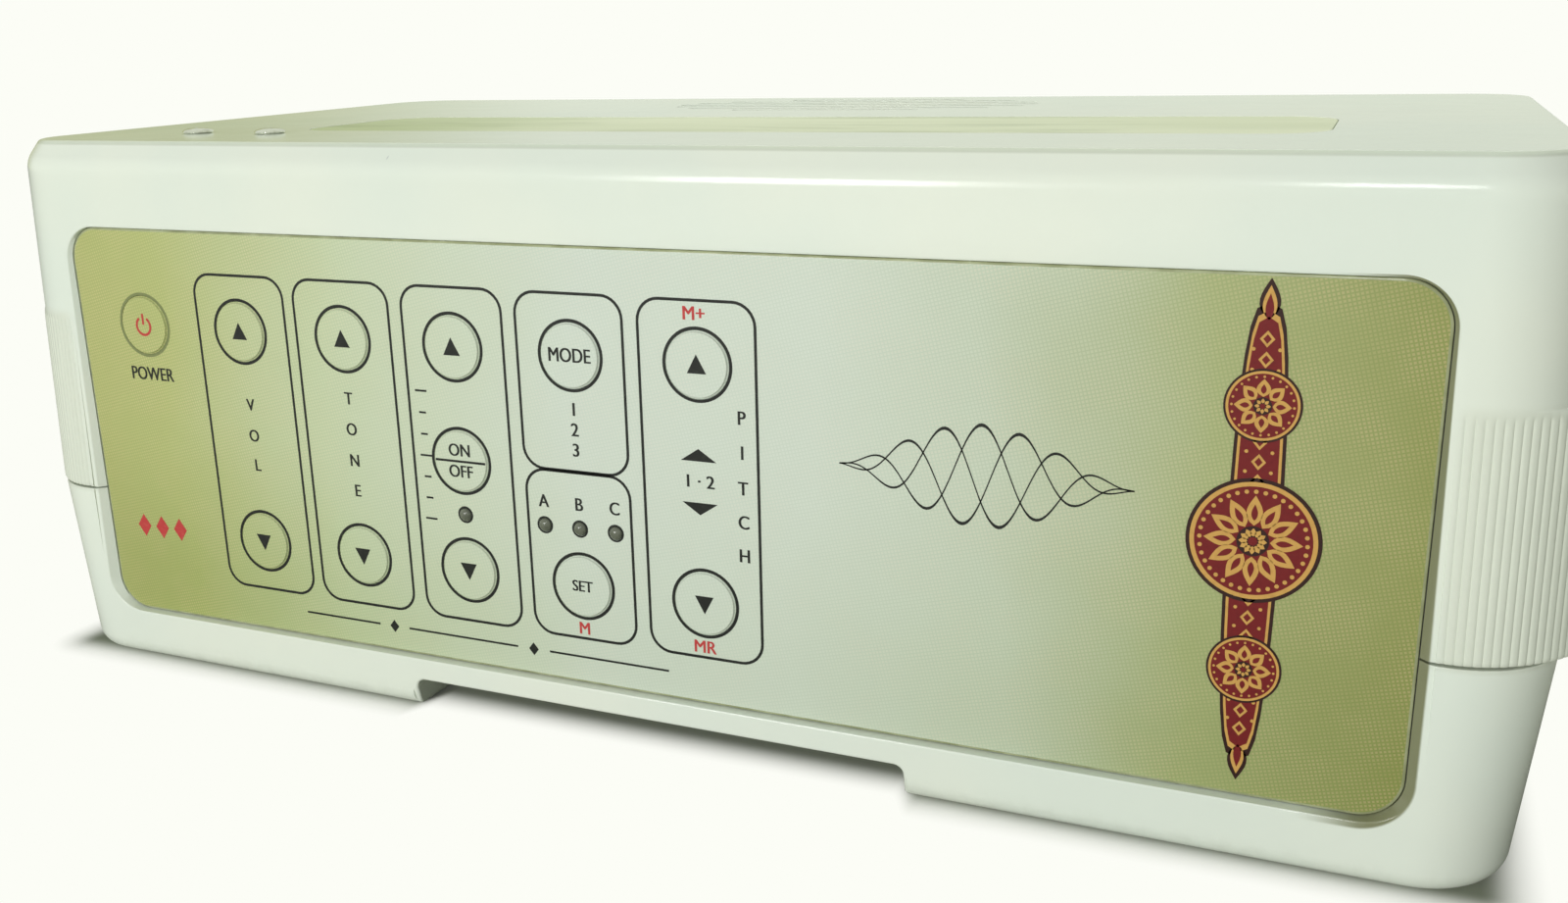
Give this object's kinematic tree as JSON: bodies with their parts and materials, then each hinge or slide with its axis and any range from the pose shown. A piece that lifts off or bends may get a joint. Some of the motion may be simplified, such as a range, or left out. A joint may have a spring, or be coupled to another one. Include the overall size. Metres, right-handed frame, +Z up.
{
  "type": "electronic tanpura",
  "caption": "Table-top electronic drone instrument: a white two-part moulded box on two long feet, with a recessed printed front panel of round push keys.",
  "frame": {"origin": "on the table, under the middle of the case", "axes": "+X to the right as the player sees the front panel, +Y to the back, +Z up"},
  "size_m": [0.257, 0.1244, 0.0963],
  "materials": {
    "shell_white": "moulded ABS, slightly glossy, greenish white",
    "panel_grey": "plain moulded plate, hidden behind the film",
    "film": "printed polyester film with a fine woven dot texture, olive at the ends, paler in the middle",
    "key_film": "embossed printed film, satin",
    "lamp": "dark tinted epoxy lens",
    "board": "green solder mask on glass-fibre board",
    "chip": "black moulded epoxy",
    "ribbon": "grey flat cable",
    "steel": "zinc-plated steel",
    "aluminium": "bent sheet, mill finish",
    "magnet": "ferrite magnet with a plated back",
    "cone": "black pressed paper",
    "foam": "black foam roll",
    "cell_jacket": "plain blue cell jacket with bare ends",
    "socket": "black moulded socket",
    "lead": "two-core lead in red sleeving"
  },
  "bodies": {
    "case": {"upper_shell": "shell_white", "lower_shell": "shell_white", "roof_screw_1": "shell_white", "roof_screw_2": "shell_white", "front_panel": "panel_grey", "panel_overlay": "film", "roof_strip": "film", "lamp_fifth": "lamp", "lamp_note_left": "lamp", "lamp_note_middle": "lamp", "lamp_note_right": "lamp", "key_board": "board", "main_board": "board", "amp_board": "board", "sound_chip": "chip", "amp_chip": "chip", "amp_capacitor": "chip", "key_ribbon": "ribbon", "case_screw_1": "steel", "case_screw_2": "steel", "case_screw_3": "steel", "case_screw_4": "steel", "board_screw_1": "steel", "board_screw_2": "steel", "board_screw_3": "steel", "board_screw_4": "steel", "speaker_screw_1": "steel", "speaker_screw_2": "steel", "speaker_screw_3": "steel", "speaker_screw_4": "steel", "contact_plate_front": "steel", "contact_plate_rear": "steel", "speaker_basket": "steel", "amp_bracket": "aluminium", "speaker_magnet": "magnet", "speaker_cone": "cone", "speaker_surround": "foam", "cell_1": "cell_jacket", "cell_2": "cell_jacket", "cell_3": "cell_jacket", "cell_4": "cell_jacket", "cell_5": "cell_jacket", "cell_6": "cell_jacket", "dc_inlet": "socket", "line_out": "socket", "speaker_lead": "lead"},
    "key_power": {"key_power": "key_film"},
    "key_volume_up": {"key_volume_up": "key_film"},
    "key_volume_down": {"key_volume_down": "key_film"},
    "key_tone_up": {"key_tone_up": "key_film"},
    "key_tone_down": {"key_tone_down": "key_film"},
    "key_fifth_up": {"key_fifth_up": "key_film"},
    "key_fifth_on_off": {"key_fifth_on_off": "key_film"},
    "key_fifth_down": {"key_fifth_down": "key_film"},
    "key_mode": {"key_mode": "key_film"},
    "key_note": {"key_note": "key_film"},
    "key_pitch_up": {"key_pitch_up": "key_film"},
    "key_pitch_down": {"key_pitch_down": "key_film"},
    "battery_door": {"battery_door": "shell_white"}
  },
  "joints": [
    {"name": "key_power_press", "type": "slide", "parent": "case", "child": "key_power", "axis": [0, 1, 0], "range_m": [0, 0.0007], "stiffness_N_per_m": 2000},
    {"name": "key_volume_up_press", "type": "slide", "parent": "case", "child": "key_volume_up", "axis": [0, 1, 0], "range_m": [0, 0.0007], "stiffness_N_per_m": 2000},
    {"name": "key_volume_down_press", "type": "slide", "parent": "case", "child": "key_volume_down", "axis": [0, 1, 0], "range_m": [0, 0.0007], "stiffness_N_per_m": 2000},
    {"name": "key_tone_up_press", "type": "slide", "parent": "case", "child": "key_tone_up", "axis": [0, 1, 0], "range_m": [0, 0.0007], "stiffness_N_per_m": 2000},
    {"name": "key_tone_down_press", "type": "slide", "parent": "case", "child": "key_tone_down", "axis": [0, 1, 0], "range_m": [0, 0.0007], "stiffness_N_per_m": 2000},
    {"name": "key_fifth_up_press", "type": "slide", "parent": "case", "child": "key_fifth_up", "axis": [0, 1, 0], "range_m": [0, 0.0007], "stiffness_N_per_m": 2000},
    {"name": "key_fifth_on_off_press", "type": "slide", "parent": "case", "child": "key_fifth_on_off", "axis": [0, 1, 0], "range_m": [0, 0.0007], "stiffness_N_per_m": 2000},
    {"name": "key_fifth_down_press", "type": "slide", "parent": "case", "child": "key_fifth_down", "axis": [0, 1, 0], "range_m": [0, 0.0007], "stiffness_N_per_m": 2000},
    {"name": "key_mode_press", "type": "slide", "parent": "case", "child": "key_mode", "axis": [0, 1, 0], "range_m": [0, 0.0007], "stiffness_N_per_m": 2000},
    {"name": "key_note_press", "type": "slide", "parent": "case", "child": "key_note", "axis": [0, 1, 0], "range_m": [0, 0.0007], "stiffness_N_per_m": 2000},
    {"name": "key_pitch_up_press", "type": "slide", "parent": "case", "child": "key_pitch_up", "axis": [0, 1, 0], "range_m": [0, 0.0007], "stiffness_N_per_m": 2000},
    {"name": "key_pitch_down_press", "type": "slide", "parent": "case", "child": "key_pitch_down", "axis": [0, 1, 0], "range_m": [0, 0.0007], "stiffness_N_per_m": 2000},
    {"name": "battery_door_slide", "type": "slide", "parent": "case", "child": "battery_door", "axis": [0, 1, 0], "range_m": [0, 0.104]}
  ]
}
